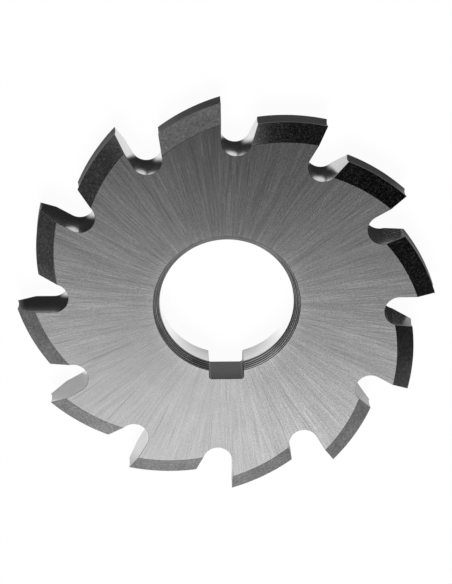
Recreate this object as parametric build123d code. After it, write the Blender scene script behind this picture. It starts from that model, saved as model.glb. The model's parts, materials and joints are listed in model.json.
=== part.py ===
from build123d import *
import math
import os

# Spline milling cutter: one piece of hardened steel, a disc with form-relieved
# teeth that mills the groove between two splines of a shaft. It rides on a
# keyed arbor.
# Millimetres, +Z up. The cutter lies flat: z = 0 is its lower side face and
# the Z axis is the arbor axis. The keyway points along -Y and turns clockwise
# seen from above when it cuts.

# Driving dimensions
tooth_count = 12
tip_radius = 42.1        # axis to the cutting edges' crest corners
cutter_width = 8.7       # between the two ground side faces
bore_radius = 13.5       # standard 27 mm arbor
chamfer_reach = 1.3      # bore chamfer, measured along the side face
chamfer_depth = 1.6      # bore chamfer, measured along the bore
key_width = 7.0          # standard key slot of a 27 mm arbor
key_floor = 16.3         # axis to the slot's floor: 29.8 mm across bore and slot
key_corner = 0.6         # radius in the slot's two inner corners

# Tooth form, as the form tool turns it
crest_width = 4.2        # between the two crest corners
flank_height = 3.66      # crest corner down to the side face
shaft_radius = 9.0       # the hollow crest leaves the shaft this minor radius
relief_angle = 15.5      # fall of the form behind the cutting edge, in degrees

# Gullet between two teeth
gullet_depth = 10.3      # cutting edge down to the gullet's floor
gullet_radius = 3.05     # round root
gullet_angle = 20.0      # between rake face and heel, in degrees
rake_offset = 1.36       # rake face stands this far behind the radial line

# Cutting clearances and smoothness
overrun = 2.0            # how far each cut runs past the surface it leaves
relief_lead = 6.0        # degrees that the form tool starts ahead of the edge
relief_steps = 6         # sections along one tooth's relief

pitch = 360.0 / tooth_count
flank_rise = (cutter_width - crest_width) / 2
flank_slope = flank_height / flank_rise
crest_hollow = shaft_radius - math.sqrt(shaft_radius**2 - (crest_width / 2) ** 2)
fall_per_degree = tip_radius * math.tan(math.radians(relief_angle)) * math.pi / 180
outer_reach = tip_radius + overrun
mid_height = cutter_width / 2


def blank():
    """Turned disc with its bore and both bore chamfers."""
    mouth = bore_radius + chamfer_reach
    outline = Polyline(
        (mouth, 0),
        (tip_radius, 0),
        (tip_radius, cutter_width),
        (mouth, cutter_width),
        (bore_radius, cutter_width - chamfer_depth),
        (bore_radius, chamfer_depth),
        close=True,
    )
    return revolve(Plane.XZ * make_face(outline), Axis.Z)


def form_section(fall):
    """What the form tool takes off in one axial plane, moved in by fall."""
    crest = tip_radius - fall
    low = crest - flank_height - overrun * flank_slope
    below = mid_height - cutter_width / 2 - overrun
    above = mid_height + cutter_width / 2 + overrun
    crest_low = (crest, mid_height - crest_width / 2)
    crest_top = (crest, mid_height + crest_width / 2)
    reach = outer_reach + relief_lead * fall_per_degree
    outline = [
        Line((low, below), crest_low),
        ThreePointArc(crest_low, (crest - crest_hollow, mid_height), crest_top),
        Line(crest_top, (low, above)),
        Polyline((low, above), (reach, above), (reach, below), (low, below)),
    ]
    return make_face(outline)


def relief_cut():
    """The form tool's path along one tooth, falling by the same step per degree."""
    sweep = pitch + relief_lead - rake_angle_at_tip()
    sections = []
    for step in range(relief_steps + 1):
        past_lead = sweep * step / relief_steps
        fall = (past_lead - relief_lead) * fall_per_degree
        turn = rake_angle_at_tip() + past_lead - relief_lead
        sections.append(Rot(Z=turn) * (Plane.XZ * form_section(fall)))
    return loft(sections)


def rake_angle_at_tip():
    """Angle from the tooth's base line to its cutting edge, in degrees."""
    return math.degrees(math.asin(rake_offset / tip_radius))


def gullet_cut():
    """Straight slot with a rake wall, a round root and a leaning heel wall."""
    lean = math.radians(gullet_angle)
    root_y = rake_offset - gullet_radius
    root_reach = tip_radius - gullet_depth + gullet_radius
    root_x = math.sqrt(root_reach**2 - root_y**2)
    root_start = (root_x, rake_offset)
    root_middle = (
        root_x - gullet_radius * math.cos(lean / 2),
        root_y + gullet_radius * math.sin(lean / 2),
    )
    root_end = (
        root_x - gullet_radius * math.sin(lean),
        root_y - gullet_radius * math.cos(lean),
    )
    heel_top = (outer_reach, root_end[1] - (outer_reach - root_end[0]) * math.tan(lean))
    outline = [
        ThreePointArc(root_start, root_middle, root_end),
        Polyline(root_end, heel_top, (outer_reach, rake_offset), root_start),
    ]
    slot = extrude(make_face(outline), cutter_width + 2 * overrun)
    return Pos(0, 0, -overrun) * slot


def key_cut():
    """Key slot along -Y with rounded inner corners."""
    slot = Pos(0, -key_floor / 2) * Rectangle(key_width, key_floor)
    corners = slot.vertices().group_by(Axis.Y)[0]
    slot = fillet(corners, key_corner)
    return Pos(0, 0, -overrun) * extrude(slot, cutter_width + 2 * overrun)


def cutter():
    """The finished cutter, one solid."""
    relief = relief_cut()
    gullet = gullet_cut()
    body = blank()
    for tooth in range(tooth_count):
        turn = Rot(Z=90 + tooth * pitch)
        body -= turn * relief
        body -= turn * gullet
    return body - key_cut()


os.makedirs("parts", exist_ok=True)
export_step(cutter(), "parts/cutter.step")
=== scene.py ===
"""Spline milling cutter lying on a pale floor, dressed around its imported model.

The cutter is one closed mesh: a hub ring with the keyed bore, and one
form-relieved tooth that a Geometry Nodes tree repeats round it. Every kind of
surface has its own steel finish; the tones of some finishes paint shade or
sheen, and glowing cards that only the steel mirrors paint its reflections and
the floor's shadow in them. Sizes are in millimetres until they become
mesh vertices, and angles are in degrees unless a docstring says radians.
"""

import json
import logging
import math
from dataclasses import dataclass, field
from enum import Enum

import bmesh
import bpy
from mathutils import Matrix, Vector

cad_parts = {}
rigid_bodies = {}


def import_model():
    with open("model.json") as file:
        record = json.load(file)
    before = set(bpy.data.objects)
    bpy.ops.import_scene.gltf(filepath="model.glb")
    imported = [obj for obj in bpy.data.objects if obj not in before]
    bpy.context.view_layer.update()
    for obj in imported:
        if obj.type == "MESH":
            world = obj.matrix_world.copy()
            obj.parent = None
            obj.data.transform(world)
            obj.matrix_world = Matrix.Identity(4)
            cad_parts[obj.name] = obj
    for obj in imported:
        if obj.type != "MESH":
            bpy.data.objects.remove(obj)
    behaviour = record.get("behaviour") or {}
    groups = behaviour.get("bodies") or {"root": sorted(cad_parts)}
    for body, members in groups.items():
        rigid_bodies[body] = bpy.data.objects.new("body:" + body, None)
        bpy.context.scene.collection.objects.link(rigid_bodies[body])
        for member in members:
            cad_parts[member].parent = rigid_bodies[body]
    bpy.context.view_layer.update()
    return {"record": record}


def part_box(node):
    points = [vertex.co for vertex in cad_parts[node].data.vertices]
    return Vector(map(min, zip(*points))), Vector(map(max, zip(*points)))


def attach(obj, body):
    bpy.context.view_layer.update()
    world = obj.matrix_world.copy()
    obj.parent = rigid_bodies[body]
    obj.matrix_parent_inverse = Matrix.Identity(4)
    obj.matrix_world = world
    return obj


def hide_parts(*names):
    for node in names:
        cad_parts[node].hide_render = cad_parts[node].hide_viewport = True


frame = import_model()

MM = 0.001
FULL_TURN = 360.0
FACE_KIND = "surface"
FACE_REPEATS = "repeats"
TOOTH_TONE = "tooth_tone"
CARD_TONE = "card_tone"
FLOAT = "NodeSocketFloat"
WHOLE = "NodeSocketInt"
VECTOR = "NodeSocketVector"
GEOMETRY = "NodeSocketGeometry"
WHITE = (1.0, 1.0, 1.0, 1.0)
LOG = logging.getLogger("spline_cutter")

Flat = tuple[float, float]
Span = tuple[float, float]
Socket = bpy.types.NodeSocket
Tree = bpy.types.NodeTree
Vertex = bmesh.types.BMVert


class Surface(Enum):
    """The kinds of surface on the cutter, each with a finish of its own."""

    SIDE = "ground_side"
    FLANK = "relieved_flank"
    CREST = "hollow_crest"
    RAKE = "rake_face"
    ROOT = "gullet_root"
    HEEL = "tooth_heel"
    CHAMFER = "bore_chamfer"
    BORE = "ground_bore"
    # the keyway's material: broached steel whose near-black tone is painted shade
    KEYWAY = "broached_keyway"
    EDGE = "broken_edge"

    @property
    def number(self) -> int:
        """The value that the mesh stores on a face of this kind."""
        return list(Surface).index(self)


@dataclass(frozen=True)
class CutterSizes:
    """The cutter's real sizes, in millimetres and degrees."""

    width: float
    bore_radius: float
    tip_radius: float
    teeth: int = 12
    first_tooth: float = 90.0
    chamfer_reach: float = 1.3
    chamfer_depth: float = 1.6
    key_width: float = 7.0
    key_floor: float = 16.3
    key_corner: float = 0.6
    crest_width: float = 4.2
    flank_height: float = 3.66
    shaft_radius: float = 9.0
    relief_angle: float = 15.5
    gullet_depth: float = 10.3
    gullet_radius: float = 3.05
    gullet_angle: float = 20.0
    rake_offset: float = 1.36
    seam_radius: float = 24.0
    seam_steps: int = 10
    edge_break: float = 0.06

    @classmethod
    def from_frame(cls, node: str) -> "CutterSizes":
        """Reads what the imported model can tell, and keeps the rest as named.

        Args:
            node: name of the cutter's node.

        Returns:
            The sizes of this cutter.
        """
        low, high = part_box(node)
        mounts = {mount["name"]: mount for mount in frame["record"]["mounts"]}
        half_span = (high[0] - low[0]) / 2 / MM
        return cls(
            width=(high[2] - low[2]) / MM,
            bore_radius=mounts["bore"]["dims"]["r_mm"],
            tip_radius=math.hypot(half_span, cls.rake_offset),
        )

    @property
    def pitch(self) -> float:
        """Angle from one tooth to the next, in radians."""
        return math.tau / self.teeth

    @property
    def middle(self) -> float:
        """Height of the cutter's middle plane."""
        return self.width / 2

    @property
    def mouth_radius(self) -> float:
        """Radius where the bore's chamfer meets the side face."""
        return self.bore_radius + self.chamfer_reach

    @property
    def fall(self) -> float:
        """How far the tooth form moves in for each radian behind the edge."""
        return self.tip_radius * math.tan(math.radians(self.relief_angle))

    @property
    def edge_turn(self) -> float:
        """Angle from the tooth's base line to its cutting edge, in radians."""
        return math.asin(self.rake_offset / self.tip_radius)

    @property
    def root_centre(self) -> Flat:
        """The gullet's round root.

        Returns:
            Its centre, in the frame of the tooth that the gullet feeds.
        """
        y = self.rake_offset - self.gullet_radius
        reach = self.tip_radius - self.gullet_depth + self.gullet_radius
        return math.sqrt(reach**2 - y**2), y

    @property
    def seam_turn(self) -> float:
        """Angle of the gullet's lowest point, where two sectors meet, in radians."""
        x, y = self.root_centre
        return math.atan2(y, x)

    def tooth_turn(self, tooth: int) -> float:
        """Angle of a tooth's base line, in radians."""
        return math.radians(self.first_tooth) + tooth * self.pitch


def turned(point: Flat, turn: float) -> Flat:
    """Turns a flat point about the cutter's axis.

    Args:
        point: x and y.
        turn: angle in radians.

    Returns:
        The turned point.
    """
    x, y = point
    c, s = math.cos(turn), math.sin(turn)
    return x * c - y * s, x * s + y * c


def spread(start: float, end: float, steps: int) -> list[float]:
    """Evenly spaced values from start to end, both included."""
    return [start + (end - start) * step / steps for step in range(steps + 1)]


def blend_flat(first: Flat, second: Flat, share: float) -> Flat:
    """A flat point part of the way from one point to another."""
    return tuple(a + (b - a) * share for a, b in zip(first, second))


def show(name: str, data: bpy.types.ID) -> bpy.types.Object:
    """Puts a mesh, a lamp or a camera into the scene as an object.

    Args:
        name: the object's name.
        data: what it shows.

    Returns:
        The object, at the origin.
    """
    made = bpy.data.objects.new(name, data)
    bpy.context.scene.collection.objects.link(made)
    return made


class MeshMaker:
    """Collects points and faces of named kinds into one bmesh."""

    def __init__(self) -> None:
        """Starts an empty mesh with its two face layers."""
        self.mesh = bmesh.new()
        self.kind = self.mesh.faces.layers.int.new(FACE_KIND)
        self.repeats = self.mesh.faces.layers.bool.new(FACE_REPEATS)

    def line(self, points: list[Flat], height: float) -> list[Vertex]:
        """Adds flat points, given in millimetres, at one height."""
        return [self.mesh.verts.new((x * MM, y * MM, height * MM)) for x, y in points]

    def face(self, corners: list[Vertex], kind: Surface, repeats: bool) -> None:
        """Adds one face.

        Args:
            corners: its vertices in order.
            kind: the kind of surface that it is.
            repeats: whether it belongs to the tooth that is repeated.
        """
        made = self.mesh.faces.new(corners)
        made[self.kind] = kind.number
        made[self.repeats] = repeats

    def strip(
        self, upper: list[Vertex], lower: list[Vertex], kind: Surface, repeats: bool
    ) -> None:
        """Fills the band between two rows of vertices with quads.

        Args:
            upper: the first row.
            lower: the second row, as long as the first.
            kind: the kind of surface that it is.
            repeats: whether it belongs to the tooth that is repeated.
        """
        for step in range(len(upper) - 1):
            corners = [upper[step], upper[step + 1], lower[step + 1], lower[step]]
            self.face(corners, kind, repeats)


@dataclass(frozen=True)
class ToothSector:
    """One tooth with half a gullet on each side, on its base line along +X."""

    sizes: CutterSizes
    relief_steps: int = 24
    flank_rows: int = 3
    crest_rows: int = 8
    root_steps: int = 14
    outline_steps: int = 6
    rake_rounds: int = 8
    heel_halvings: int = 40

    def form(self) -> list[tuple[float, float, Surface]]:
        """The tooth's outline in an axial plane, from the lower side to the upper.

        Returns:
            Rows of drop below the crest corners, height, and the kind of
            surface that ends at that row.
        """
        s = self.sizes
        half = s.crest_width / 2
        hollow = math.sqrt(s.shaft_radius**2 - half**2)
        flank = [
            (s.flank_height * share, (s.middle - half) * (1 - share), Surface.FLANK)
            for share in spread(1, 0, self.flank_rows)
        ]
        crest = [
            (math.sqrt(s.shaft_radius**2 - offset**2) - hollow, s.middle + offset, Surface.CREST)
            for offset in spread(-half, half, self.crest_rows)[1:]
        ]
        upper = [(drop, s.width - height, kind) for drop, height, kind in flank[-2::-1]]
        return flank + crest + upper

    def radius(self, drop: float, turn: float) -> float:
        """Radius of the relieved form at an angle, in radians, behind the base line."""
        return self.sizes.tip_radius - drop - self.sizes.fall * (turn - self.sizes.edge_turn)

    def rake_turn(self, drop: float) -> float:
        """Angle where a row of the form meets the rake face.

        Args:
            drop: how far the row lies below the crest corners.

        Returns:
            The angle in radians.
        """
        turn = self.sizes.edge_turn
        for _ in range(self.rake_rounds):
            turn = math.asin(self.sizes.rake_offset / self.radius(drop, turn))
        return turn

    def heel_line(self) -> tuple[Flat, Flat]:
        """The line of the heel behind the tooth.

        Returns:
            A point on the heel's wall, and the way out of the steel from it.
        """
        s = self.sizes
        lean = math.radians(s.gullet_angle)
        x, y = s.root_centre
        end = (x - s.gullet_radius * math.sin(lean), y - s.gullet_radius * math.cos(lean))
        return turned(end, s.pitch), turned((math.sin(lean), math.cos(lean)), s.pitch)

    def heel_turn(self, drop: float) -> float:
        """Angle where a row of the form meets the heel, found by halving.

        Args:
            drop: how far the row lies below the crest corners.

        Returns:
            The angle in radians.
        """
        (px, py), (nx, ny) = self.heel_line()
        inside, outside = self.sizes.edge_turn, self.sizes.pitch
        for _ in range(self.heel_halvings):
            turn = (inside + outside) / 2
            x, y = turned((self.radius(drop, turn), 0), turn)
            past = (x - px) * nx + (y - py) * ny
            inside, outside = (inside, turn) if past > 0 else (turn, outside)
        return inside

    def form_line(self, drop: float, steps: int) -> list[Flat]:
        """A row of the form from the rake face to the heel.

        Args:
            drop: how far the row lies below the crest corners.
            steps: how many parts it has.

        Returns:
            Its flat points.
        """
        turns = spread(self.rake_turn(drop), self.heel_turn(drop), steps)
        return [turned((self.radius(drop, turn), 0), turn) for turn in turns]

    def root_line(self, start: float, end: float, turn: float) -> list[Flat]:
        """Points on the gullet's round root.

        Args:
            start: first angle on the root's circle, in radians.
            end: last angle.
            turn: turn of the whole circle about the cutter's axis, in radians.

        Returns:
            The flat points from start to end.
        """
        x, y = self.sizes.root_centre
        r = self.sizes.gullet_radius
        arc = spread(start, end, self.root_steps)
        return [turned((x + r * math.cos(a), y + r * math.sin(a)), turn) for a in arc]

    def half_roots(self) -> tuple[list[Flat], list[Flat]]:
        """The two half roots beside the tooth.

        Returns:
            Points from one gullet's lowest point to the rake face, and points
            from the heel to the next gullet's lowest point.
        """
        lowest = self.sizes.seam_turn + math.pi
        heel_end = math.radians(FULL_TURN * 3 / 4 - self.sizes.gullet_angle)
        before = self.root_line(lowest, math.pi / 2, 0)
        return before, self.root_line(heel_end, lowest, self.sizes.pitch)

    def outline(self) -> list[tuple[Flat, bool]]:
        """The sector's flat outline over the crest corners.

        Returns:
            Points from one gullet's lowest point to the next one's, and whether
            each lies on the crest.
        """
        before, after = self.half_roots()
        crest = self.form_line(0, self.outline_steps)
        shares = spread(0, 1, self.outline_steps)[1:-1]
        rake = [blend_flat(before[-1], crest[0], share) for share in shares]
        heel = [blend_flat(crest[-1], after[0], share) for share in shares]
        parts = ((before + rake, False), (crest, True), (heel + after[:-1], False))
        return [(point, on_crest) for points, on_crest in parts for point in points]

    def build(self, maker: MeshMaker) -> None:
        """Adds the sector's faces.

        Args:
            maker: the mesh.
        """
        s = self.sizes
        rows = self.form()
        grid = [maker.line(self.form_line(drop, self.relief_steps), z) for drop, z, _ in rows]
        for upper, lower, (_, _, kind) in zip(grid, grid[1:], rows[1:]):
            maker.strip(upper, lower, kind, True)

        turns = spread(s.seam_turn + s.pitch, s.seam_turn, s.seam_steps)
        seam = [turned((s.seam_radius, 0), turn) for turn in turns]
        roots = []
        for z, foot in ((0, grid[0]), (s.width, grid[-1])):
            before, after = (maker.line(half, z) for half in self.half_roots())
            maker.face(before + foot + after + maker.line(seam, z), Surface.SIDE, True)
            roots.append((before, after))
        (low_before, low_after), (top_before, top_after) = roots
        maker.strip(top_before, low_before, Surface.ROOT, True)
        maker.strip(top_after, low_after, Surface.ROOT, True)
        rake, heel = [row[0] for row in grid], [row[-1] for row in grid]
        maker.face([low_before[-1], *rake, top_before[-1]], Surface.RAKE, True)
        maker.face([low_after[0], *heel, top_after[0]], Surface.HEEL, True)


@dataclass(frozen=True)
class HubRing:
    """The ring round the bore, with its chamfers and its key slot."""

    sizes: CutterSizes
    columns: int = 200
    chamfer_rows: int = 4
    corner_steps: int = 10

    def profile(self) -> list[tuple[float, float, Surface]]:
        """The bore's outline in an axial plane, from the upper side down.

        Returns:
            Rows of radius, height, and the kind of surface that ends at that row.
        """
        s = self.sizes
        upper = []
        for share in spread(0, 1, self.chamfer_rows):
            radius = s.bore_radius + s.chamfer_reach * (1 - share)
            upper.append((radius, s.width - s.chamfer_depth * share, Surface.CHAMFER))
        lower = [(radius, s.width - z, kind) for radius, z, kind in upper[-2::-1]]
        return upper + [(s.bore_radius, s.chamfer_depth, Surface.BORE)] + lower

    def row_points(self, radius: float) -> list[Flat]:
        """A turned row's points, from one wall of the key slot round to the other.

        Args:
            radius: the row's radius.

        Returns:
            Its flat points.
        """
        wall = math.asin(self.sizes.key_width / 2 / radius)
        turns = spread(wall - math.pi / 2, math.pi * 3 / 2 - wall, self.columns)
        return [turned((radius, 0), turn) for turn in turns]

    def slot_points(self) -> list[Flat]:
        """The key slot's outline.

        Returns:
            Flat points from the top of the corner at -X to that at +X.
        """
        s = self.sizes
        centre_x, centre_y = s.key_width / 2 - s.key_corner, s.key_corner - s.key_floor
        right = [(0.0, -s.key_floor)]
        for turn in spread(-math.pi / 2, 0, self.corner_steps):
            x, y = turned((s.key_corner, 0), turn)
            right.append((centre_x + x, centre_y + y))
        return [(-x, y) for x, y in right[:0:-1]] + right

    def build(self, maker: MeshMaker) -> None:
        """Adds the ring's faces.

        Args:
            maker: the mesh.
        """
        s = self.sizes
        rows = self.profile()
        grid = [maker.line(self.row_points(radius), z) for radius, z, _ in rows]
        for upper, lower, (_, _, kind) in zip(grid, grid[1:], rows[1:]):
            maker.strip(upper, lower, kind, False)

        top, low = (maker.line(self.slot_points(), z) for z in (s.width, 0))
        maker.strip(top, low, Surface.KEYWAY, False)
        for end, column in ((-1, 0), (0, -1)):
            wall = [row[column] for row in grid]
            maker.face([top[end], *wall, low[end]], Surface.KEYWAY, False)
        self.side_faces(maker, top, grid[0], s.width)
        self.side_faces(maker, low, grid[-1], 0)

    def side_faces(
        self, maker: MeshMaker, slot: list[Vertex], mouth: list[Vertex], height: float
    ) -> None:
        """Fills one side between the bore's mouth and the seam, in two halves.

        Args:
            maker: the mesh.
            slot: the key slot's outline, from -X to +X.
            mouth: the bore's mouth, from the slot's +X wall round to its -X wall.
            height: the side's height.
        """
        s = self.sizes
        steps = s.teeth * s.seam_steps
        first = s.seam_turn - math.pi / 2
        turns = spread(first, first + math.tau, steps)[:-1]
        seam = maker.line([turned((s.seam_radius, 0), turn) for turn in turns], height)
        half, middle, centre = steps // 2, len(mouth) // 2, len(slot) // 2
        right = slot[centre:] + mouth[: middle + 1] + seam[half::-1]
        left = slot[centre::-1] + mouth[: middle - 1 : -1] + seam[half:] + seam[:1]
        maker.face(right, Surface.SIDE, False)
        maker.face(left, Surface.SIDE, False)


class NodeKit:
    """Adds and links nodes in one tree."""

    def __init__(self, tree: Tree) -> None:
        """Works on the given tree."""
        self.tree = tree

    def feed(self, target: Socket, value: object) -> None:
        """Links a socket to an input, or sets the input to a plain value.

        Args:
            target: the input.
            value: a socket, a plain value, or None to leave the input as it is.
        """
        if isinstance(value, bpy.types.NodeSocket):
            self.tree.links.new(value, target)
        elif value is not None:
            target.default_value = value

    def add(self, kind: str, inputs: dict | None = None, **settings: object) -> bpy.types.Node:
        """Adds a node.

        Args:
            kind: Blender's name of the node's type.
            inputs: input name or number to a socket or a plain value.
            settings: the node's own properties.

        Returns:
            The node.
        """
        node = self.tree.nodes.new(kind)
        for name, value in settings.items():
            setattr(node, name, value)
        for name, value in (inputs or {}).items():
            self.feed(node.inputs[name], value)
        return node

    def result(self, kind: str, inputs: dict | None = None, **settings: object) -> Socket:
        """Adds a node and gives its first output."""
        return self.add(kind, inputs, **settings).outputs[0]

    def math(self, operation: str, a: object, b: object = None, c: object = None) -> Socket:
        """A Math node's result."""
        return self.result("ShaderNodeMath", {0: a, 1: b, 2: c}, operation=operation)

    def vector(self, operation: str, a: object, b: object = None) -> Socket:
        """A Vector Math node's vector."""
        return self.result("ShaderNodeVectorMath", {0: a, 1: b}, operation=operation)

    def measure(self, operation: str, a: object, b: object = None) -> Socket:
        """A Vector Math node's number."""
        return self.add("ShaderNodeVectorMath", {0: a, 1: b}, operation=operation).outputs[1]

    def scaled(self, vector: object, scale: object) -> Socket:
        """A vector or a colour times a number."""
        inputs = {0: vector, "Scale": scale}
        return self.result("ShaderNodeVectorMath", inputs, operation="SCALE")

    def shrunk(self, vector: object, size: object) -> Socket:
        """A vector divided by a number."""
        return self.scaled(vector, self.math("DIVIDE", 1.0, size))

    def joined(self, x: object = None, y: object = None, z: object = None) -> Socket:
        """A vector from its parts, each 0 where it isn't given."""
        return self.result("ShaderNodeCombineXYZ", {0: x, 1: y, 2: z})

    def noise(self, vector: object, detail: float, rough: float) -> Socket:
        """A 3D noise texture's factor."""
        inputs = {"Vector": vector, "Scale": 1.0, "Detail": detail, "Roughness": rough}
        return self.result("ShaderNodeTexNoise", inputs)

    def mapped(self, value: object, start: float, end: float, first: float, last: float) -> Socket:
        """A value that runs from first to last while the given one runs from start to end."""
        return self.result("ShaderNodeMapRange", {0: value, 1: start, 2: end, 3: first, 4: last})


@dataclass
class EffectMaker:
    """Builds one shader node group, with a position and named numbers as its inputs."""

    name: str
    inputs: dict[str, float]
    outputs: list[str]
    tree: Tree = field(init=False)
    kit: NodeKit = field(init=False)
    given: bpy.types.NodeOutputs = field(init=False)
    result: bpy.types.NodeInputs = field(init=False)

    def __post_init__(self) -> None:
        """Makes the tree, its sockets and its two end nodes."""
        self.tree = bpy.data.node_groups.new(self.name, "ShaderNodeTree")
        face = self.tree.interface
        face.new_socket("Position", in_out="INPUT", socket_type=VECTOR)
        for name, value in self.inputs.items():
            face.new_socket(name, in_out="INPUT", socket_type=FLOAT).default_value = value
        for name in self.outputs:
            face.new_socket(name, in_out="OUTPUT", socket_type=FLOAT)
        self.kit = NodeKit(self.tree)
        self.given = self.kit.add("NodeGroupInput").outputs
        self.result = self.kit.add("NodeGroupOutput").inputs

    def flat(self) -> Socket:
        """The position without its height."""
        return self.kit.vector("MULTIPLY", self.given["Position"], (1.0, 1.0, 0.0))


@dataclass
class SteelEffects:
    """The node groups that the steel finishes share, in millimetres."""

    middle_radius: float = 28.0
    seed_step: float = 7.3
    line_detail: float = 2.0
    line_rough: float = 0.6
    scratch_from: float = 0.37
    scratch_full: float = 0.31
    rim_reach: float = 0.25
    calm_from: float = 0.5
    calm_full: float = 0.9
    grain_detail: float = 2.0
    grain_rough: float = 0.6
    patch_detail: float = 3.0
    patch_rough: float = 0.5
    mark_detail: float = 5.0
    mark_rough: float = 0.62
    mark_softness: float = 0.18
    radial: Tree = field(init=False)
    turned: Tree = field(init=False)
    grain: Tree = field(init=False)
    marks: Tree = field(init=False)

    def __post_init__(self) -> None:
        """Builds every group once."""
        self.radial = self.radial_grinding()
        self.turned = self.turned_lines()
        self.grain = self.steel_grain()
        self.marks = self.handling_marks()

    def radial_grinding(self) -> Tree:
        """Lines that run from the bore to the teeth, each leaning a little.

        Returns:
            The group. Lines lies between 0 and 1. Rim falls from 1 at the bore's
            mouth to 0 a quarter of its radius further out. Calm is 1 towards the
            calm bearing, in degrees, and 0 from 60 degrees off it. Scratches is 1
            in a few of the lines.
        """
        numbers = {
            "Line Width": 0.3, "Line Length": 10.0, "Lean": 0.0, "Seed": 0.0,
            "Mouth": 15.0, "Calm Bearing": 0.0,
        }
        outputs = ["Lines", "Rim", "Calm", "Scratches"]
        made = EffectMaker("radial_grinding", numbers, outputs)
        kit, given = made.kit, made.given
        radius = kit.measure("LENGTH", made.flat())
        ray = kit.vector("NORMALIZE", made.flat())

        share = kit.math("DIVIDE", radius, self.middle_radius)
        turn = kit.math("MULTIPLY", kit.math("LOGARITHM", share, math.e), given["Lean"])
        leaning = {"Vector": ray, "Angle": turn}
        bent = kit.result("ShaderNodeVectorRotate", leaning, rotation_type="Z_AXIS")
        across = kit.math("DIVIDE", self.middle_radius, given["Line Width"])
        along = kit.math("DIVIDE", radius, given["Line Length"])
        lift = kit.math("MULTIPLY_ADD", given["Seed"], self.seed_step, along)
        place = kit.vector("ADD", kit.scaled(bent, across), kit.joined(z=lift))
        lines = kit.noise(place, self.line_detail, self.line_rough)
        kit.feed(made.result["Lines"], lines)
        scratches = kit.mapped(lines, self.scratch_from, self.scratch_full, 0.0, 1.0)
        kit.feed(made.result["Scratches"], scratches)

        past = kit.math("SUBTRACT", kit.math("DIVIDE", radius, given["Mouth"]), 1.0)
        near = kit.mapped(past, 0.0, self.rim_reach, 1.0, 0.0)
        kit.feed(made.result["Rim"], kit.math("POWER", near, 2.0))

        bearing = kit.math("RADIANS", given["Calm Bearing"])
        calm_ray = kit.joined(kit.math("COSINE", bearing), kit.math("SINE", bearing))
        facing = kit.measure("DOT_PRODUCT", ray, calm_ray)
        calm = kit.mapped(facing, self.calm_from, self.calm_full, 0.0, 1.0)
        kit.feed(made.result["Calm"], calm)
        return made.tree

    def turned_lines(self) -> Tree:
        """Fine lines round the cutter's axis, as a lathe or a grinder leaves them.

        Returns:
            The group. Lines and Grooves lie between 0 and 1. Grooves is the even
            spiral of the turning tool's feed, one line width apart.
        """
        numbers = {"Line Width": 0.12, "Line Turns": 1.5, "Seed": 0.0}
        made = EffectMaker("turned_lines", numbers, ["Lines", "Grooves"])
        kit, given = made.kit, made.given
        radius = kit.measure("LENGTH", made.flat())
        x, y, height = kit.add("ShaderNodeSeparateXYZ", {0: given["Position"]}).outputs
        across = kit.math("DIVIDE", kit.math("ADD", radius, height), given["Line Width"])
        turns = kit.math("DIVIDE", kit.math("ARCTAN2", y, x), math.tau)
        phase = kit.math("MULTIPLY", kit.math("ADD", across, turns), math.tau)
        wave = kit.math("MULTIPLY_ADD", kit.math("SINE", phase), 0.5, 0.5)
        kit.feed(made.result["Grooves"], wave)
        ray = kit.scaled(kit.vector("NORMALIZE", made.flat()), given["Line Turns"])
        place = kit.vector("ADD", ray, kit.joined(x=given["Seed"], z=across))
        kit.feed(made.result["Lines"], kit.noise(place, self.line_detail, self.line_rough))
        return made.tree

    def steel_grain(self) -> Tree:
        """Fine mottled grain over slow patches, as matt relieved steel has.

        Returns:
            The group. Grain and Patches lie between 0 and 1.
        """
        numbers = {"Grain Size": 0.25, "Patch Size": 4.0}
        made = EffectMaker("steel_grain", numbers, ["Grain", "Patches"])
        kit, given = made.kit, made.given
        fine = kit.shrunk(given["Position"], given["Grain Size"])
        slow = kit.shrunk(given["Position"], given["Patch Size"])
        kit.feed(made.result["Grain"], kit.noise(fine, self.grain_detail, self.grain_rough))
        kit.feed(made.result["Patches"], kit.noise(slow, self.patch_detail, self.patch_rough))
        return made.tree

    def handling_marks(self) -> Tree:
        """Faint smears and dull spots from handling and storage.

        Returns:
            The group. Marks is 0 on clean steel and rises to 1 in a mark.
        """
        numbers = {"Mark Size": 6.0, "Coverage": 0.4, "Seed": 0.0}
        made = EffectMaker("handling_marks", numbers, ["Marks"])
        kit, given = made.kit, made.given
        place = kit.shrunk(given["Position"], given["Mark Size"])
        place = kit.vector("ADD", place, kit.joined(x=given["Seed"]))
        cloud = kit.noise(place, self.mark_detail, self.mark_rough)
        edge = kit.math("SUBTRACT", 1.0, given["Coverage"])
        rise = kit.math("DIVIDE", kit.math("SUBTRACT", cloud, edge), self.mark_softness)
        kit.feed(made.result["Marks"], kit.result("ShaderNodeClamp", {0: rise}))
        return made.tree


class Lay(Enum):
    """The way that a finish's lines run."""

    RADIAL = "radial"
    ROUND = "round"
    NONE = "none"


@dataclass(frozen=True)
class SteelFinish:
    """How one kind of surface looks.

    Tones are linear grey. Line, grain, patch and mark strengths are shares of
    the tone. Widths, lengths, pitches and heights are in millimetres. Grazing is
    the tint of what the steel mirrors at a glancing angle, and stretch is how
    far its shine spreads across the lines. The tones and grazing tints of the
    crest, chamfer, keyway and edge finishes are lowered to paint shade, and the
    bore's tone is raised to paint part of its sheen.
    """

    surface: Surface
    tone: float
    roughness: float
    grazing: float = 1.0
    stretch: float = 0.0
    lay: Lay = Lay.NONE
    line_width: float = 0.3
    line_length: float = 10.0
    line_strength: float = 0.0
    line_height: float = 0.0
    groove_pitch: float = 0.0
    groove_share: float = 0.0
    grain_size: float = 0.25
    grain_strength: float = 0.0
    grain_height: float = 0.0
    patch_strength: float = 0.0
    mark_strength: float = 0.0
    tooth_strength: float = 0.0
    rim_strength: float = 0.0
    calm_share: float = 0.0
    scratch_strength: float = 0.0
    matt_share: float = 0.0


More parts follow.
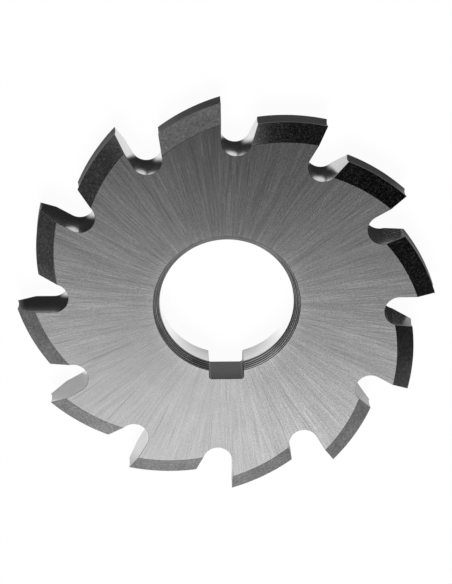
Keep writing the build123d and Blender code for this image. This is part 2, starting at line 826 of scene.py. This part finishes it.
FINISHES = (
    SteelFinish(
        Surface.SIDE, tone=0.57, roughness=0.27, lay=Lay.RADIAL, line_width=0.17,
        line_length=9.0, line_strength=0.4, line_height=0.0005, stretch=0.6,
        grain_strength=0.6, patch_strength=0.08, rim_strength=0.18, calm_share=0.5,
        scratch_strength=0.22,
    ),
    SteelFinish(
        Surface.FLANK, tone=0.24, roughness=0.22, lay=Lay.ROUND, line_width=0.25,
        line_strength=0.1, line_height=0.0005, grain_size=0.42, grain_strength=0.8,
        grain_height=0.002, patch_strength=0.35, tooth_strength=0.1, matt_share=0.08,
    ),
    # painted shade: the crest's low tone and grazing tint stand in for the dark floor and shadow it
    # mirrors
    SteelFinish(
        Surface.CREST, tone=0.16, roughness=0.25, grazing=0.6, lay=Lay.ROUND, line_width=0.2,
        line_strength=0.2, line_height=0.0005, grain_size=0.2, grain_strength=0.3,
        grain_height=0.001, patch_strength=0.2,
    ),
    SteelFinish(
        Surface.RAKE, tone=0.6, roughness=0.15, lay=Lay.ROUND, line_width=0.15,
        line_strength=0.12, grain_strength=0.08, patch_strength=0.15,
        mark_strength=0.25, tooth_strength=0.15,
    ),
    SteelFinish(
        Surface.ROOT, tone=0.6, roughness=0.15, grain_size=0.3, grain_strength=0.15,
        patch_strength=0.2, mark_strength=0.25, tooth_strength=0.15,
    ),
    SteelFinish(
        Surface.HEEL, tone=0.58, roughness=0.15, grain_size=0.3, grain_strength=0.3,
        patch_strength=0.2, mark_strength=0.25, tooth_strength=0.15, matt_share=0.35,
    ),
    # painted shade: the chamfer's low tone and grazing tint darken what it mirrors
    SteelFinish(
        Surface.CHAMFER, tone=0.25, roughness=0.25, grazing=0.45, lay=Lay.ROUND,
        line_width=0.3, line_strength=1.3, line_height=0.001, groove_pitch=0.62,
        groove_share=0.72, grain_strength=0.1, patch_strength=0.15,
    ),
    # polished bore steel, its tone raised past the steel's own to paint part of the bright sheen it
    # mirrors
    SteelFinish(
        Surface.BORE, tone=0.88, roughness=0.15, lay=Lay.ROUND, line_width=0.12,
        line_strength=0.2, line_height=0.0004, grain_strength=0.03, patch_strength=0.03,
    ),
    # painted shade: the keyway's near-black tone stands in for the shade in the slot; grain, patches
    # and marks are the steel's own
    SteelFinish(
        Surface.KEYWAY, tone=0.035, roughness=0.3, grain_strength=0.2,
        patch_strength=0.25, mark_strength=0.2,
    ),
    # painted shade: the edge's dark tone keeps the broken edges from glinting
    SteelFinish(Surface.EDGE, tone=0.14, roughness=0.3, grain_strength=0.2),
)


@dataclass(frozen=True)
class LineLayer:
    """One layer of a finish's lines.

    Width, length and strength are shares of the finish's own. Lean is for radial
    lines, and turns, how fast the pattern changes round the axis, for round ones.
    """

    width: float
    strength: float
    length: float = 1.0
    lean: float = 0.0
    turns: float = 1.0
    seed: float = 0.0


LINE_LAYERS = {
    Lay.RADIAL: (
        LineLayer(width=8.0, strength=0.5, length=2.6, lean=0.12),
        LineLayer(width=2.6, strength=0.5, length=3.2, lean=-0.09, seed=3.7),
        LineLayer(width=1.4, strength=0.8, length=2.6, lean=0.06, seed=7.4),
        LineLayer(width=0.8, strength=1.0, length=2.0, lean=-0.02, seed=11.1),
    ),
    Lay.ROUND: (
        LineLayer(width=2.2, strength=0.4, turns=0.8),
        LineLayer(width=1.0, strength=1.0, turns=1.6, seed=5.0),
    ),
    Lay.NONE: (),
}
SCRATCHES = {"Line Width": 0.3, "Line Length": 22.0, "Lean": -0.05, "Seed": 31.0}


@dataclass
class SteelMaterial:
    """One finish's material, whose tone and height grow layer by layer."""

    finish: SteelFinish
    effects: SteelEffects
    mouth: float
    calm_bearing: float = 238.0
    worn_roughness: float = 0.3
    matt_from: float = 0.45
    matt_full: float = 0.8
    tone: object = field(init=False, default=1.0)
    height: object = field(init=False, default=0.0)

    def __post_init__(self) -> None:
        """Makes the empty material and finds the place on the cutter."""
        self.material = bpy.data.materials.new(self.finish.surface.value)
        self.material.use_nodes = True
        self.kit = NodeKit(self.material.node_tree)
        self.spot = self.kit.add("ShaderNodeTexCoord").outputs["Object"]
        self.place = self.kit.scaled(self.spot, 1 / MM)
        self.seed = float(self.finish.surface.number)

    def effect(self, tree: Tree, inputs: dict) -> bpy.types.NodeOutputs:
        """Places a shared effect.

        Args:
            tree: the effect's node group.
            inputs: its named inputs beside the position.

        Returns:
            Its outputs.
        """
        inputs = {"Position": self.place, **inputs}
        return self.kit.add("ShaderNodeGroup", inputs, node_tree=tree).outputs

    def scale_tone(self, value: Socket, share: object) -> None:
        """Adds a share of the tone where a value is 1, or takes it off if it is negative."""
        factor = self.kit.math("MULTIPLY_ADD", value, share, 1.0)
        self.tone = self.kit.math("MULTIPLY", self.tone, factor)

    def swing(self, value: Socket, strength: object) -> None:
        """Makes the tone rise and fall with a value that lies about 0.5.

        Args:
            value: a number from 0 to 1.
            strength: the share of the tone that it moves.
        """
        reach = self.kit.math("MULTIPLY", strength, 2.0)
        self.scale_tone(self.kit.math("SUBTRACT", value, 0.5), reach)

    def add_zones(self) -> object:
        """Adds the scratches and the lighter rim of a radially ground face.

        Returns:
            The strength of the lines and the grain, weaker where the face is calm.
        """
        finish = self.finish
        if finish.lay is not Lay.RADIAL:
            return 1.0
        zoning = {"Mouth": self.mouth, "Calm Bearing": self.calm_bearing}
        zones = self.effect(self.effects.radial, {**SCRATCHES, **zoning})
        self.scale_tone(zones["Scratches"], -finish.scratch_strength)
        self.scale_tone(zones["Rim"], finish.rim_strength)
        return self.kit.math("MULTIPLY_ADD", zones["Calm"], -finish.calm_share, 1.0)

    def lines(self) -> list[tuple[Socket, float]]:
        """The finish's lines, from the broadest to the finest.

        Returns:
            A value about 0.5 and its share of the strength, for each layer.
        """
        finish, found = self.finish, []
        for layer in LINE_LAYERS[finish.lay]:
            inputs = {"Line Width": finish.line_width * layer.width, "Seed": self.seed + layer.seed}
            if finish.lay is Lay.RADIAL:
                inputs["Line Length"] = finish.line_length * layer.length
                inputs["Lean"] = layer.lean
                group = self.effects.radial
            else:
                inputs["Line Turns"] = layer.turns
                group = self.effects.turned
            found.append((self.effect(group, inputs)["Lines"], layer.strength))
        if finish.groove_pitch:
            cut = self.effect(self.effects.turned, {"Line Width": finish.groove_pitch})
            found.append((cut["Grooves"], finish.groove_share))
        return found

    def build(self) -> bpy.types.Material:
        """Fills the material.

        Returns:
            The material, named after its kind of surface.
        """
        finish, kit = self.finish, self.kit
        strength = self.add_zones()
        steel = self.effect(self.effects.grain, {"Grain Size": finish.grain_size})
        grain = steel["Grain"]
        self.swing(grain, kit.math("MULTIPLY", strength, finish.grain_strength))
        self.swing(steel["Patches"], finish.patch_strength)
        self.height = kit.math("MULTIPLY", grain, finish.grain_height)
        for line, share in self.lines():
            self.swing(line, kit.math("MULTIPLY", strength, finish.line_strength * share))
            rise = finish.line_height * share
            self.height = kit.math("MULTIPLY_ADD", line, rise, self.height)
        if finish.tooth_strength:
            own = kit.add("ShaderNodeAttribute", attribute_name=TOOTH_TONE).outputs["Fac"]
            self.swing(own, finish.tooth_strength)
        marks = self.effect(self.effects.marks, {"Seed": self.seed})["Marks"]
        worn = kit.math("MULTIPLY", marks, finish.mark_strength)
        self.scale_tone(worn, -1.0)
        self.shade(grain, worn)
        return self.material

    def shade(self, grain: Socket, worn: Socket) -> None:
        """Feeds the finished tone and height to the steel's shader.

        Args:
            grain: the steel's grain, from 0 to 1.
            worn: how much the handling marks dull it, from 0 to 1.
        """
        finish, kit = self.finish, self.kit
        shader = self.material.node_tree.nodes["Principled BSDF"].inputs
        kit.feed(shader["Base Color"], kit.scaled([finish.tone] * 3, self.tone))
        rough = kit.math("MULTIPLY_ADD", worn, self.worn_roughness, finish.roughness)
        kit.feed(shader["Roughness"], rough)
        kit.feed(shader["Metallic"], 1.0)
        if finish.matt_share:
            least = 1.0 - finish.matt_share
            metallic = kit.mapped(grain, self.matt_from, self.matt_full, 1.0, least)
            kit.feed(shader["Metallic"], metallic)
        kit.feed(shader["Specular Tint"], [finish.grazing] * 3 + [1.0])
        if finish.stretch:
            kit.feed(shader["Anisotropic"], finish.stretch)
            round_axis = kit.vector("CROSS_PRODUCT", (0.0, 0.0, 1.0), self.spot)
            kit.feed(shader["Tangent"], kit.vector("NORMALIZE", round_axis))
        if finish.grain_height or finish.line_height:
            inputs = {"Strength": 1.0, "Distance": MM, "Height": self.height}
            kit.feed(shader["Normal"], kit.result("ShaderNodeBump", inputs))


@dataclass
class FinishShop:
    """Makes the material of every finish."""

    sizes: CutterSizes

    def make_all(self) -> dict[Surface, bpy.types.Material]:
        """Makes one material for each finish.

        Returns:
            Kind of surface to material.
        """
        effects, mouth = SteelEffects(), self.sizes.mouth_radius
        return {
            finish.surface: SteelMaterial(finish, effects, mouth).build() for finish in FINISHES
        }


def applied(piece: bpy.types.Object, modifier: bpy.types.Modifier) -> bpy.types.Mesh:
    """Runs a piece's modifier and takes it off again.

    Args:
        piece: the object.
        modifier: its only modifier.

    Returns:
        The result as a plain mesh.
    """
    seen = piece.evaluated_get(bpy.context.evaluated_depsgraph_get())
    mesh = bpy.data.meshes.new_from_object(seen)
    piece.modifiers.remove(modifier)
    return mesh


@dataclass
class ToothRepeater:
    """The Geometry Nodes tree that sets the teeth round the hub."""

    sizes: CutterSizes
    materials: dict[Surface, bpy.types.Material]
    seed: int = 7
    weld: float = 0.002

    def inputs(self) -> dict[str, tuple[str, float]]:
        """The kind and the value of each of the tree's named inputs."""
        return {
            "Teeth": (WHOLE, self.sizes.teeth),
            "First Turn": (FLOAT, self.sizes.tooth_turn(0)),
            "Weld": (FLOAT, self.weld * MM),
            "Seed": (WHOLE, self.seed),
        }

    def tree(self) -> Tree:
        """Builds the tree.

        Returns:
            The tree, with named inputs for its sizes.
        """
        tree = bpy.data.node_groups.new("tooth_ring", "GeometryNodeTree")
        face = tree.interface
        face.new_socket("Geometry", in_out="INPUT", socket_type=GEOMETRY)
        for name, (kind, _) in self.inputs().items():
            face.new_socket(name, in_out="INPUT", socket_type=kind)
        face.new_socket("Geometry", in_out="OUTPUT", socket_type=GEOMETRY)
        kit = NodeKit(tree)
        given = kit.add("NodeGroupInput").outputs
        repeats = self.stored(kit, FACE_REPEATS, "BOOLEAN")
        sorting = {"Geometry": given["Geometry"], "Selection": repeats}
        tooth, hub = kit.add("GeometryNodeSeparateGeometry", sorting, domain="FACE").outputs
        joined = kit.add("GeometryNodeJoinGeometry", {0: hub})
        kit.feed(joined.inputs[0], self.ring(kit, given, tooth))
        solid = kit.result("GeometryNodeRealizeInstances", {0: joined.outputs[0]})
        welding = {"Geometry": solid, "Distance": given["Weld"]}
        solid = kit.result("GeometryNodeMergeByDistance", welding)
        kit.add("NodeGroupOutput", {0: self.dressed(kit, solid)})
        return tree

    @staticmethod
    def stored(kit: NodeKit, name: str, kind: str) -> Socket:
        """A value that the mesh stores under a name."""
        node = kit.add("GeometryNodeInputNamedAttribute", {"Name": name}, data_type=kind)
        return node.outputs["Attribute"]

    @staticmethod
    def ring(kit: NodeKit, given: bpy.types.NodeOutputs, tooth: Socket) -> Socket:
        """Sets one tooth for each step round the axis, with a tone of its own.

        Args:
            kit: the tree's nodes.
            given: the tree's inputs.
            tooth: the tooth's faces.

        Returns:
            The teeth as instances.
        """
        points = kit.result("GeometryNodePoints", {"Count": given["Teeth"]})
        tone = kit.add("FunctionNodeRandomValue", {"Seed": given["Seed"]}, data_type="FLOAT")
        storing = {"Geometry": points, "Name": TOOTH_TONE, "Value": tone.outputs[1]}
        points = kit.result(
            "GeometryNodeStoreNamedAttribute", storing, data_type="FLOAT", domain="POINT"
        )
        step = kit.math("DIVIDE", math.tau, given["Teeth"])
        index = kit.result("GeometryNodeInputIndex")
        spin = kit.joined(z=kit.math("MULTIPLY_ADD", index, step, given["First Turn"]))
        placing = {"Points": points, "Instance": tooth, "Rotation": spin}
        return kit.result("GeometryNodeInstanceOnPoints", placing)

    def dressed(self, kit: NodeKit, solid: Socket) -> Socket:
        """Gives each kind of surface its material.

        Args:
            kit: the tree's nodes.
            solid: the closed cutter.

        Returns:
            The cutter with its materials.
        """
        kinds = self.stored(kit, FACE_KIND, "INT")
        for surface, material in self.materials.items():
            same = {2: kinds, 3: surface.number}
            chosen = kit.result("FunctionNodeCompare", same, data_type="INT", operation="EQUAL")
            dressing = {"Geometry": solid, "Selection": chosen, "Material": material}
            solid = kit.result("GeometryNodeSetMaterial", dressing)
        return solid

    def apply(self, piece: bpy.types.Object) -> bpy.types.Mesh:
        """Runs the tree on a piece.

        Args:
            piece: the object with the hub and one tooth.

        Returns:
            The whole cutter as a plain mesh.
        """
        modifier = piece.modifiers.new("tooth_ring", "NODES")
        modifier.node_group = self.tree()
        values = self.inputs()
        for item in modifier.node_group.interface.items_tree:
            if item.in_out == "INPUT" and item.name in values:
                modifier[item.identifier] = values[item.name][1]
        return applied(piece, modifier)


@dataclass
class Cutter:
    """The whole cutter as one closed, dressed mesh."""

    sizes: CutterSizes
    materials: dict[Surface, bpy.types.Material]
    join_below: float = 0.001
    smooth_below: float = 12.0
    break_above: float = 20.0

    def build(self) -> bpy.types.Object:
        """Makes the cutter's object.

        Returns:
            The object, at the origin.
        """
        base = self.base_object()
        mesh = ToothRepeater(self.sizes, self.materials).apply(base)
        bpy.data.objects.remove(base)
        piece = show("cutter_body", mesh)
        self.face_outwards(mesh)
        self.break_edges(piece)
        return piece

    def base_object(self) -> bpy.types.Object:
        """Makes the hub and one tooth, before the teeth are repeated.

        Returns:
            The object with both.
        """
        maker = MeshMaker()
        HubRing(self.sizes).build(maker)
        ToothSector(self.sizes).build(maker)
        reach = self.join_below * MM
        bmesh.ops.remove_doubles(maker.mesh, verts=maker.mesh.verts, dist=reach)
        mesh = bpy.data.meshes.new("cutter_base")
        maker.mesh.to_mesh(mesh)
        maker.mesh.free()
        return show("cutter_base", mesh)

    @staticmethod
    def face_outwards(mesh: bpy.types.Mesh) -> None:
        """Turns every face outwards and reports how many edges aren't closed.

        Args:
            mesh: the whole cutter.
        """
        work = bmesh.new()
        work.from_mesh(mesh)
        bmesh.ops.recalc_face_normals(work, faces=work.faces)
        loose = sum(1 for edge in work.edges if len(edge.link_faces) != 2)
        LOG.info("cutter_body: %d faces, %d open edges", len(work.faces), loose)
        work.to_mesh(mesh)
        work.free()

    def break_edges(self, piece: bpy.types.Object) -> None:
        """Breaks the sharp edges by a hair's width and gives them their own finish, whose dark tone
        is painted shade that keeps them from glinting.

        Args:
            piece: the cutter's object, which gets a new mesh.
        """
        piece.data.materials.append(self.materials[Surface.EDGE])
        bevel = piece.modifiers.new("broken_edges", "BEVEL")
        bevel.width = self.sizes.edge_break * MM
        bevel.segments = 1
        bevel.limit_method = "ANGLE"
        bevel.angle_limit = math.radians(self.break_above)
        bevel.material = len(piece.data.materials) - 1
        broken = applied(piece, bevel)
        piece.data = broken
        broken.polygons.foreach_set("use_smooth", [True] * len(broken.polygons))
        broken.set_sharp_from_angle(angle=math.radians(self.smooth_below))
        broken.update()


@dataclass(frozen=True)
class PhotoCamera:
    """The photograph's camera, in millimetres and degrees.

    The cutter's upper side faces the camera, whose picture is upright where
    the key slot is at the bottom.
    """

    tilt: float = 22.877
    pan: float = 1.874
    turn: float = 0.32
    distance: float = 605.8
    shift_right: float = -0.037
    shift_up: float = 0.912
    focal_pixels: float = 3000.0
    picture_height: int = 584
    sensor: float = 36.0

    def place(self, middle: float) -> None:
        """Makes the scene's camera.

        Args:
            middle: height of the cutter's middle plane.
        """
        data = bpy.data.cameras.new("photo_camera")
        data.sensor_width = self.sensor
        data.lens = self.focal_pixels * self.sensor / self.picture_height
        camera = show("photo_camera", data)
        turn = (
            Matrix.Rotation(math.radians(self.tilt), 3, "X")
            @ Matrix.Rotation(math.radians(self.pan), 3, "Y")
            @ Matrix.Rotation(math.radians(-self.turn), 3, "Z")
        ).transposed()
        offset = Vector((self.shift_right, self.shift_up, self.distance))
        spot = (turn @ offset + Vector((0, 0, middle))) * MM
        camera.matrix_world = Matrix.Translation(spot) @ turn.to_4x4()
        bpy.context.scene.camera = camera


def empty_material(name: str) -> tuple[bpy.types.Material, NodeKit]:
    """Makes a material without nodes.

    Args:
        name: its name.
    """
    material = bpy.data.materials.new(name)
    material.use_nodes = True
    material.node_tree.nodes.clear()
    return material, NodeKit(material.node_tree)


@dataclass(frozen=True)
class Card:
    """A glowing card beside the cutter that only its steel mirrors, as a painted reflection.

    Its tones are linear grey at the start and end of its first row of points,
    then at the start and end of its last row. Its sizes are in millimetres.
    """

    name: str
    tones: tuple[float, float, float, float]

    def grid(self) -> list[list[Vector]]:
        """Rows of points in millimetres."""
        raise NotImplementedError

    def place(self) -> bpy.types.Object:
        """Makes the card.

        Returns:
            The card's object.
        """
        rows = self.grid()
        across = len(rows[0])
        corners = [tuple(point * MM) for row in rows for point in row]
        faces = [
            (start, start + 1, start + across + 1, start + across)
            for row in range(len(rows) - 1)
            for start in range(row * across, (row + 1) * across - 1)
        ]
        mesh = bpy.data.meshes.new(self.name)
        mesh.from_pydata(corners, [], faces)
        stored = mesh.attributes.new(CARD_TONE, "FLOAT", "POINT")
        stored.data.foreach_set("value", self.point_tones(len(rows), across))
        card = show(self.name, mesh)
        # hidden from the camera, from diffuse rays and from shadows, the card's glow is only a
        # painted reflection in the steel
        card.visible_camera = False
        card.visible_diffuse = False
        card.visible_shadow = False
        material, kit = empty_material(self.name)
        tone = kit.add("ShaderNodeAttribute", attribute_name=CARD_TONE).outputs["Fac"]
        glow = kit.result("ShaderNodeEmission", {"Strength": tone})
        kit.add("ShaderNodeOutputMaterial", {"Surface": glow})
        mesh.materials.append(material)
        return card

    def point_tones(self, rows: int, across: int) -> list[float]:
        """The tone of every point, blended between the four corners.

        Args:
            rows: how many rows of points the card has.
            across: how many points each row has.

        Returns:
            The tones, row by row.
        """
        starts = spread(self.tones[0], self.tones[2], rows - 1)
        ends = spread(self.tones[1], self.tones[3], rows - 1)
        return [
            tone for start, end in zip(starts, ends) for tone in spread(start, end, across - 1)
        ]


@dataclass(frozen=True)
class FlatCard(Card):
    """A level card with a skewed near edge."""

    height: float
    left: float
    right: float
    near_left: float
    near_right: float
    far: float
    steps: int = 12

    def grid(self) -> list[list[Vector]]:
        """The card's points.

        Returns:
            Rows from the near edge to the far edge.
        """
        xs = spread(self.left, self.right, self.steps)
        nears = spread(self.near_left, self.near_right, self.steps)
        return [
            [Vector((x, near + (self.far - near) * depth, self.height)) for x, near in zip(xs, nears)]
            for depth in spread(0, 1, self.steps)
        ]


@dataclass(frozen=True)
class SkyCard(Card):
    """A curved card that covers a range of bearings and heights, in degrees."""

    radius: float
    bearings: Span
    heights: Span
    steps: int = 12

    def point(self, bearing: float, height: float) -> Vector:
        """One point of the card, seen from the origin.

        Args:
            bearing: its bearing in degrees.
            height: its height over the horizon in degrees.

        Returns:
            The point in millimetres.
        """
        up = math.radians(height)
        x, y = turned((math.cos(up), 0), math.radians(bearing))
        return Vector((x, y, math.sin(up))) * self.radius

    def grid(self) -> list[list[Vector]]:
        """The card's points.

        Returns:
            Rows from the lowest height to the highest.
        """
        bearings = spread(*self.bearings, self.steps)
        heights = spread(*self.heights, self.steps)
        return [[self.point(bearing, height) for bearing in bearings] for height in heights]


@dataclass(frozen=True)
class PaintedWallShadow(Card):
    """A painted shadow: a glowing strip on the floor along the teeth, darker below walls that face
    the camera, which the steel mirrors as shade.

    Its tones are the dark one and the bright one in the gullets, then the two
    below the crests. Its bearing and its two half widths are in degrees.
    """

    sector: ToothSector
    reach: float = 3.7
    dark_lift: float = 0.18
    bright_drop: float = 0.15
    dark_bearing: float = 80.0
    dark_half: float = 28.0
    bright_half: float = 53.0

    def outline(self) -> list[tuple[Flat, bool]]:
        """The whole cutter's closed outline.

        Returns:
            Its flat points, and whether each lies on a crest.
        """
        sizes, points = self.sector.sizes, []
        for turn in (sizes.tooth_turn(tooth) for tooth in range(sizes.teeth)):
            points += [(turned(flat, turn), crest) for flat, crest in self.sector.outline()]
        return points

    def normals(self) -> list[Vector]:
        """The way out of the steel along the outline.

        Returns:
            One level direction of length 1 for each of its points.
        """
        points = [point for point, _ in self.outline()]
        pairs = zip(points[-1:] + points[:-1], points[1:] + points[:1])
        return [
            Vector((after[1] - before[1], before[0] - after[0], 0)).normalized()
            for before, after in pairs
        ]

    def share(self, normal: Vector) -> float:
        """How bright the strip is below a wall.

        Args:
            normal: the way that the wall faces.

        Returns:
            A share from 0 to 1, with soft ends.
        """
        off = math.degrees(math.atan2(normal.y, normal.x)) - self.dark_bearing
        off = abs((off + FULL_TURN / 2) % FULL_TURN - FULL_TURN / 2)
        rise = (off - self.dark_half) / (self.bright_half - self.dark_half)
        rise = min(max(rise, 0.0), 1.0)
        return rise * rise * (3 - 2 * rise)

    def grid(self) -> list[list[Vector]]:
        """The row below the wall and the row out on the floor, both closed.

        Returns:
            Two rows of points. Dark parts lie a little higher, so that they
            cover bright ones.
        """
        inner, outer = [], []
        for ((x, y), _), normal in zip(self.outline(), self.normals()):
            foot = Vector((x, y, self.dark_lift - self.bright_drop * self.share(normal)))
            inner.append(foot)
            outer.append(foot + normal * self.reach)
        return [inner + inner[:1], outer + outer[:1]]

    def point_tones(self, rows: int, across: int) -> list[float]:
        """The tone of every point, from the way that its wall faces.

        Args:
            rows: how many rows of points the strip has.
            across: how many points each row has, which the outline tells too.

        Returns:
            The tones, row by row.
        """
        row = []
        for (_, on_crest), normal in zip(self.outline(), self.normals()):
            dark, bright = self.tones[2:] if on_crest else self.tones[:2]
            row.append(dark + (bright - dark) * self.share(normal))
        return (row + row[:1]) * rows


def flat_cards(sizes: CutterSizes) -> list[Card]:
    """The level cards that paint reflections: two over the cutter and two on the floor in its bore.

    Args:
        sizes: the cutter's sizes.

    Returns:
        The cards.
    """
    clearance, rim_width = 0.5, 5.0
    inside = sizes.bore_radius - clearance
    rim = rim_width - inside
    over = {"height": 160, "left": -130, "right": 130}
    below = {"height": 0.05, "left": -inside, "right": inside}
    return [
        # painted reflection over the cutter: lighter towards -Y, dark over the middle and behind
        FlatCard(
            "overhead_card", tones=(0.36, 0.33, 0.06, 0.06), **over,
            near_left=-60, near_right=-90, far=-7,
        ),
        FlatCard(
            "overhead_back_card", tones=(0.06, 0.06, 0.06, 0.06), **over,
            near_left=-7, near_right=-7, far=44,
        ),
        # painted shadow beside the bore's -Y wall, fading into the painted bright floor that the bore
        # mirrors
        FlatCard(
            "bore_rim_card", tones=(0.4, 0.4, 0.95, 1.05), **below,
            near_left=-inside, near_right=-inside, far=rim,
        ),
        FlatCard(
            "bore_card", tones=(0.95, 1.05, 0.9, 1.05), **below,
            near_left=rim, near_right=rim, far=inside,
        ),
    ]


# painted reflections: glowing cards round the cutter that only its steel mirrors, dark where its
# faces show shade and bright where they show light
SKY_CARDS = (
    SkyCard(
        "right_card", tones=(0.004, 0.006, 0.004, 0.006),
        radius=300, bearings=(-46, 98), heights=(13, 80),
    ),
    SkyCard(
        "back_skirt", tones=(0.15, 0.3, 0.15, 0.3),
        radius=290, bearings=(48, 100), heights=(2, 31),
    ),
    SkyCard(
        "right_skirt", tones=(1.0, 0.9, 0.2, 0.3),
        radius=310, bearings=(-42, 115), heights=(-1, 13),
    ),
    SkyCard(
        "back_card", tones=(0.35, 0.45, 0.55, 0.6),
        radius=320, bearings=(101, 150), heights=(14, 74),
    ),
    SkyCard(
        "left_card", tones=(0.20, 0.10, 0.10, 0.05),
        radius=300, bearings=(210, 150), heights=(8, 70),
    ),
    SkyCard(
        "front_left_card", tones=(0.5, 0.9, 0.4, 0.9),
        radius=330, bearings=(211, 252), heights=(-2, 34),
    ),
    SkyCard(
        "front_right_card", tones=(0.75, 0.55, 0.75, 0.55),
        radius=330, bearings=(277, 316), heights=(-2, 24),
    ),
)


@dataclass(frozen=True)
class Lamp:
    """A soft lamp that lights the floor, with its angles in degrees."""

    name: str
    bearing: float
    height: float
    softness: float
    strength: float

    def place(self) -> None:
        """Makes the lamp. The steel mirrors the cards and the white round it instead."""
        data = bpy.data.lights.new(self.name, "SUN")
        data.energy = self.strength
        data.angle = math.radians(self.softness)
        lamp = show(self.name, data)
        lean = math.radians(FULL_TURN / 4 - self.height)
        lamp.rotation_euler = (0, lean, math.radians(self.bearing))
        lamp.visible_glossy = False


KEY_LAMP = Lamp("key_lamp", bearing=262.0, height=64.0, softness=25.0, strength=3.1)


@dataclass
class Studio:
    """The pale floor, the even white surroundings, the cards that paint reflections and shadow in the
    steel, and the lamp.
    """

    sizes: CutterSizes
    floor_half: float = 2.0
    floor_tone: float = 0.9
    floor_share: float = 0.96
    ambient: float = 0.2

    def build(self) -> None:
        """Makes the floor, the painted reflection cards, the lamp and the world."""
        self.make_floor()
        # painted shadow strip: tones for the shaded and the lit floor in the gullets, then below the
        # crests
        painted_shadow_strip = PaintedWallShadow("wall_apron", (0.03, 1.0, 0.25, 0.55), ToothSector(self.sizes))
        for card in (*flat_cards(self.sizes), *SKY_CARDS, painted_shadow_strip):
            card.place()
        KEY_LAMP.place()
        self.make_world()

    @staticmethod
    def background_rays(kit: NodeKit) -> Socket:
        """Finds the rays that see the plain background.

        Args:
            kit: the nodes of the floor or the world.

        Returns:
            1 for a ray from the camera and for one that steel mirrors or glass
            passes on, 0 for the rest.
        """
        path = kit.add("ShaderNodeLightPath").outputs
        off_steel = kit.math("MAXIMUM", path["Is Glossy Ray"], path["Is Transmission Ray"])
        return kit.math("MAXIMUM", path["Is Camera Ray"], off_steel)

    def make_floor(self) -> None:
        """The pale floor, which shows as white and keeps the cutter's shadow."""
        half = self.floor_half
        mesh = bpy.data.meshes.new("pale_floor")
        corners = [(-half, -half, 0), (half, -half, 0), (half, half, 0), (-half, half, 0)]
        mesh.from_pydata(corners, [], [(0, 1, 2, 3)])
        floor = show("pale_floor", mesh)
        material, kit = empty_material("pale_floor")
        paper_colour = [self.floor_tone] * 3 + [1.0]
        paper = kit.result("ShaderNodeBsdfDiffuse", {"Color": paper_colour})
        white = kit.result("ShaderNodeEmission", {"Color": WHITE, "Strength": 1.0})
        share = kit.math("MULTIPLY", self.background_rays(kit), self.floor_share)
        both = kit.result("ShaderNodeMixShader", {0: share, 1: paper, 2: white})
        kit.add("ShaderNodeOutputMaterial", {"Surface": both})
        mesh.materials.append(material)

    def make_world(self) -> None:
        """White for the camera and for mirrored rays, and a soft light for the rest."""
        world = bpy.data.worlds.new("soft_white")
        world.use_nodes = True
        world.node_tree.nodes.clear()
        kit = NodeKit(world.node_tree)
        soft = kit.result("ShaderNodeBackground", {"Color": WHITE, "Strength": self.ambient})
        white = kit.result("ShaderNodeBackground", {"Color": WHITE, "Strength": 1.0})
        share = self.background_rays(kit)
        both = kit.result("ShaderNodeMixShader", {0: share, 1: soft, 2: white})
        kit.add("ShaderNodeOutputWorld", {"Surface": both})
        bpy.context.scene.world = world


def main() -> None:
    """Builds the cutter, its surroundings and the camera."""
    logging.basicConfig(level=logging.INFO, format="%(name)s: %(message)s")
    bpy.context.scene.view_settings.view_transform = "Standard"
    sizes = CutterSizes.from_frame("cutter")
    PhotoCamera().place(sizes.middle)
    Studio(sizes).build()
    materials = FinishShop(sizes).make_all()
    cutter = Cutter(sizes, materials).build()
    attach(cutter, "root")
    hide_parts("cutter")
    LOG.info("cutter_body rides on root and replaces cutter")


if __name__ == "__main__":
    main()
